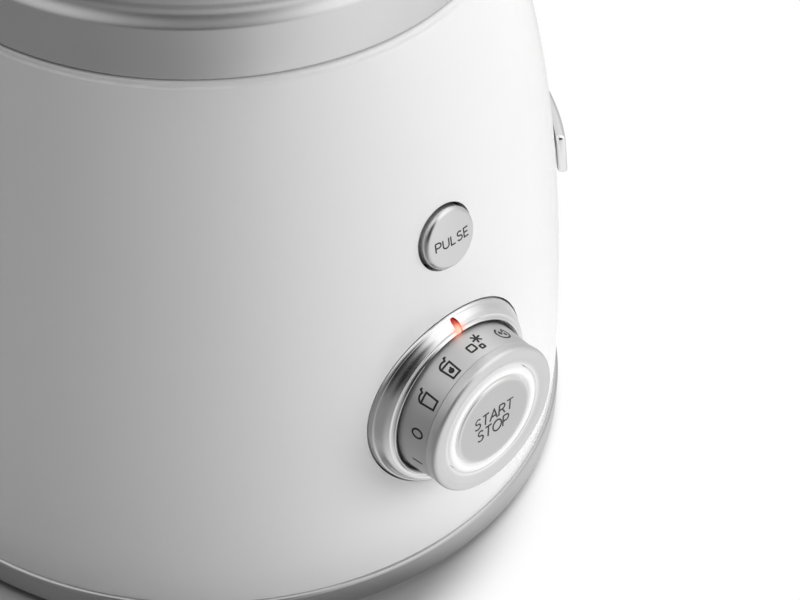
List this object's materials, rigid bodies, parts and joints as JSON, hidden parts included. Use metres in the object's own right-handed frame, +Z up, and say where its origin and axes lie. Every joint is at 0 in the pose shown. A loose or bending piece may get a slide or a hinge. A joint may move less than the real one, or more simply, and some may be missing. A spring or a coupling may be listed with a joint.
{
  "type": "countertop blender",
  "caption": "Countertop blender: round motor base with mode dial and pulse button, drive coupling, lift-off jug with blades, lid and filler cap.",
  "frame": {"origin": "centre of the base, on the surface the feet stand on, on the drive axis", "axes": "+Z up along the drive axis; the dial faces -Y, the jug's handle points to +X and its spout to -X"},
  "size_m": [0.1943, 0.1742, 0.3926],
  "materials": {
    "gloss_white": "gloss",
    "satin_aluminium": "satin",
    "satin_silver": "satin metallic",
    "bright_silver": "plated",
    "black_plastic": "matt",
    "black_rubber": "matt",
    "pale_seal": "matt",
    "plain_steel": "machined",
    "blade_steel": "ground",
    "lamination_steel": "stacked sheet",
    "cast_bracket": "as cast",
    "copper": "enamelled wire",
    "carbon": "pressed",
    "circuit_board": "lacquered",
    "red_light": "lit",
    "white_light": "lit, diffusing",
    "clear_plastic": "clear"
  },
  "bodies": {
    "motor_base": {"motor_housing": "gloss_white", "base_ring": "satin_aluminium", "bottom_cover": "black_plastic", "foot_1": "black_rubber", "foot_2": "black_rubber", "foot_3": "black_rubber", "foot_4": "black_rubber", "cover_screw_1": "plain_steel", "cover_screw_2": "plain_steel", "cover_screw_3": "plain_steel", "cover_screw_4": "plain_steel", "cord_gland": "black_rubber", "top_deck": "black_plastic", "upper_bracket": "cast_bracket", "lower_bracket": "cast_bracket", "motor_bolt_1": "plain_steel", "motor_bolt_2": "plain_steel", "stator_core": "lamination_steel", "field_coil_rear": "copper", "field_coil_front": "copper", "upper_bearing": "plain_steel", "lower_bearing": "plain_steel", "brush_holder_left": "black_plastic", "brush_holder_right": "black_plastic", "carbon_brush_left": "carbon", "carbon_brush_right": "carbon", "control_board": "circuit_board", "dial_encoder": "black_plastic", "start_switch": "black_plastic", "pulse_switch": "black_plastic", "sensing_switch": "black_plastic", "dial_bezel": "bright_silver", "pointer_light": "red_light", "light_ring": "white_light", "side_trim_bar": "bright_silver"},
    "rotor": {"motor_shaft": "plain_steel", "rotor_core": "lamination_steel", "rotor_winding": "copper", "commutator": "copper", "cooling_fan": "black_plastic", "drive_coupling": "black_plastic"},
    "dial_knob": {"dial": "satin_silver", "dial_front_ring": "satin_silver"},
    "start_key": {"start_button": "satin_silver"},
    "pulse_key": {"pulse_button": "satin_silver"},
    "jug_pin": {"sensing_pin": "black_plastic"},
    "jug_unit": {"jug": "clear_plastic", "jug_collar": "satin_silver", "blade_carrier": "black_plastic", "jug_gasket": "pale_seal", "bearing_sleeve": "plain_steel"},
    "blade_unit": {"blade_shaft": "plain_steel", "lower_blades": "blade_steel", "upper_blades": "blade_steel", "blade_nut": "plain_steel", "driven_coupling": "black_plastic"},
    "lid_unit": {"lid": "black_plastic", "lid_gasket": "pale_seal"},
    "cap_unit": {"filler_cap": "clear_plastic"}
  },
  "joints": [
    {"name": "dial_turn", "type": "hinge", "parent": "motor_base", "child": "dial_knob", "pos_m": [0, -0.07909, 0.0484], "axis": [0, -1, 0], "range_deg": [-104, 26]},
    {"name": "start_press", "type": "slide", "parent": "motor_base", "child": "start_key", "axis": [0, 1, 0], "range_m": [0, 0.0012], "stiffness_N_per_m": 800, "springref_m": -0.0006},
    {"name": "pulse_press", "type": "slide", "parent": "motor_base", "child": "pulse_key", "axis": [0, 0.9816, -0.1908], "range_m": [0, 0.0012], "stiffness_N_per_m": 800, "springref_m": -0.0006},
    {"name": "rotor_spin", "type": "hinge", "parent": "motor_base", "child": "rotor", "pos_m": [0, 0, 0.08], "axis": [0, 0, 1], "continuous": true},
    {"name": "jug_lift", "type": "slide", "parent": "motor_base", "child": "jug_unit", "axis": [0, 0, 1], "range_m": [0, 0.06]},
    {"name": "pin_rise", "type": "slide", "parent": "motor_base", "child": "jug_pin", "axis": [0, 0, 1], "range_m": [0, 0.003]},
    {"name": "blade_spin", "type": "hinge", "parent": "jug_unit", "child": "blade_unit", "pos_m": [0, 0, 0.17], "axis": [0, 0, 1], "continuous": true},
    {"name": "lid_lift", "type": "slide", "parent": "jug_unit", "child": "lid_unit", "axis": [0, 0, 1], "range_m": [0, 0.04]},
    {"name": "cap_lift", "type": "slide", "parent": "lid_unit", "child": "cap_unit", "axis": [0, 0, 1], "range_m": [0, 0.04]}
  ],
  "couplings": [
    {"joint": "blade_spin", "follows": "rotor_spin", "ratio": 1},
    {"joint": "pin_rise", "follows": "jug_lift", "ratio": 0.05}
  ]
}
